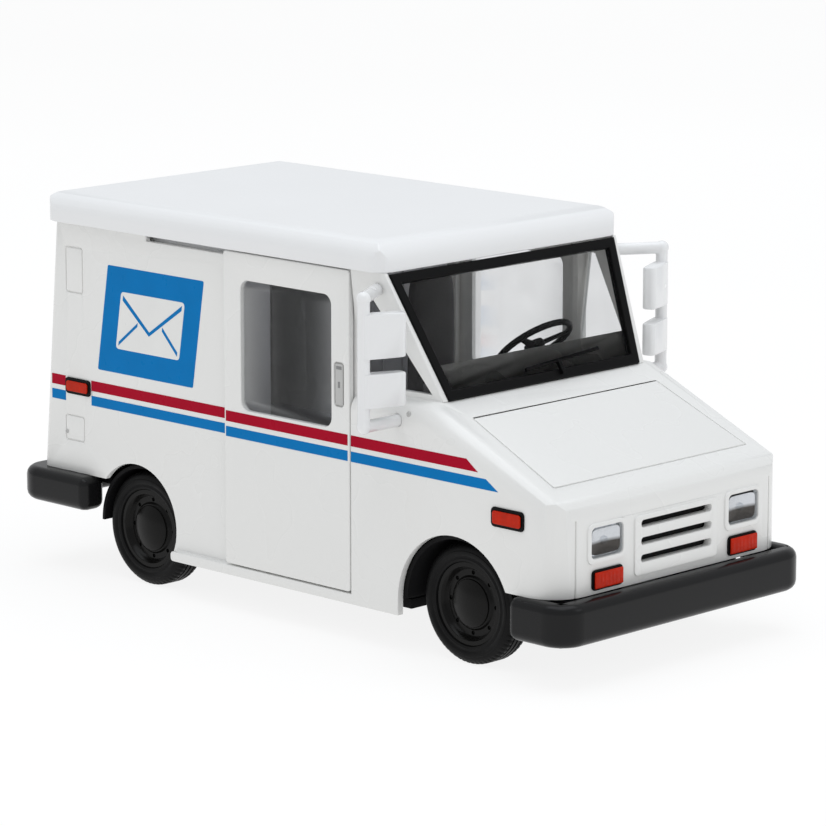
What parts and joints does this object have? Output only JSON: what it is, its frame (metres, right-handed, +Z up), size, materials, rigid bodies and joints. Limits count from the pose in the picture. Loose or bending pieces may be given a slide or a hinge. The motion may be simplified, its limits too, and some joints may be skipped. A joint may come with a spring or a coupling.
{
  "type": "mail delivery truck",
  "caption": "Boxy toy mail delivery truck with sliding side doors, rolling wheels, sloped windscreen, side mirrors, lamps and a furnished cab.",
  "frame": {"origin": "on the ground under the middle of the truck's overall length and width", "axes": "+Z up, -Y towards the nose, +Y towards the rear, +X towards the truck's left side"},
  "size_m": [0.0692, 0.1222, 0.0625],
  "materials": {
    "white_paint": "gloss white paint",
    "white_plastic": "gloss white",
    "clear_glazing": "clear",
    "lamp_lens": "clear, moulded",
    "black_seal": "satin black",
    "gloss_black": "gloss black",
    "matte_black": "matte black",
    "grey_plastic": "matte grey",
    "silver_foil": "bright silver",
    "mirror_face": "bright",
    "red_lens": "gloss red",
    "steel": "plain",
    "black_tyre": "satin black",
    "black_hub": "satin black"
  },
  "bodies": {
    "van": {"body_shell": "white_paint", "roof_panel": "white_plastic", "windscreen_seal": "black_seal", "windscreen_glass": "clear_glazing", "right_quarter_window": "clear_glazing", "left_quarter_window": "clear_glazing", "windscreen_wiper": "black_seal", "rear_door": "white_paint", "rear_door_handle": "black_seal", "rear_door_window": "clear_glazing", "grille_insert": "matte_black", "right_headlamp": "lamp_lens", "left_headlamp": "lamp_lens", "headlamp_reflectors": "silver_foil", "right_turn_signal": "red_lens", "left_turn_signal": "red_lens", "turn_signal_frames": "black_seal", "front_side_markers": "red_lens", "rear_side_markers": "red_lens", "side_marker_frames": "black_seal", "right_tail_lamp": "red_lens", "left_tail_lamp": "red_lens", "right_mirror": "white_plastic", "left_mirror": "white_plastic", "mirror_glasses": "mirror_face", "chassis_base": "matte_black", "wheel_well_liners": "matte_black", "chassis_screws": "steel", "front_bumper": "gloss_black", "rear_bumper": "gloss_black", "cab_floor": "grey_plastic", "cargo_floor": "grey_plastic", "bulkhead": "grey_plastic", "dashboard": "matte_black", "dash_tray": "grey_plastic", "driver_seat": "matte_black", "steering_column": "matte_black", "steering_wheel": "matte_black"},
    "right_sliding_door": {"right_door": "white_paint", "right_door_window": "clear_glazing"},
    "left_sliding_door": {"left_door": "white_paint", "left_door_window": "clear_glazing"},
    "front_wheelset": {"front_axle": "steel", "front_right_hub": "black_hub", "front_right_tyre": "black_tyre", "front_left_hub": "black_hub", "front_left_tyre": "black_tyre"},
    "rear_wheelset": {"rear_axle": "steel", "rear_right_hub": "black_hub", "rear_right_tyre": "black_tyre", "rear_left_hub": "black_hub", "rear_left_tyre": "black_tyre"}
  },
  "joints": [
    {"name": "right_door_slide", "type": "slide", "parent": "van", "child": "right_sliding_door", "axis": [0, 1, 0], "range_m": [0, 0.0189]},
    {"name": "left_door_slide", "type": "slide", "parent": "van", "child": "left_sliding_door", "axis": [0, 1, 0], "range_m": [0, 0.0189]},
    {"name": "front_wheels_spin", "type": "hinge", "parent": "van", "child": "front_wheelset", "pos_m": [0, -0.0378, 0.0093], "axis": [1, 0, 0], "continuous": true},
    {"name": "rear_wheels_spin", "type": "hinge", "parent": "van", "child": "rear_wheelset", "pos_m": [0, 0.0334, 0.0093], "axis": [1, 0, 0], "continuous": true}
  ]
}
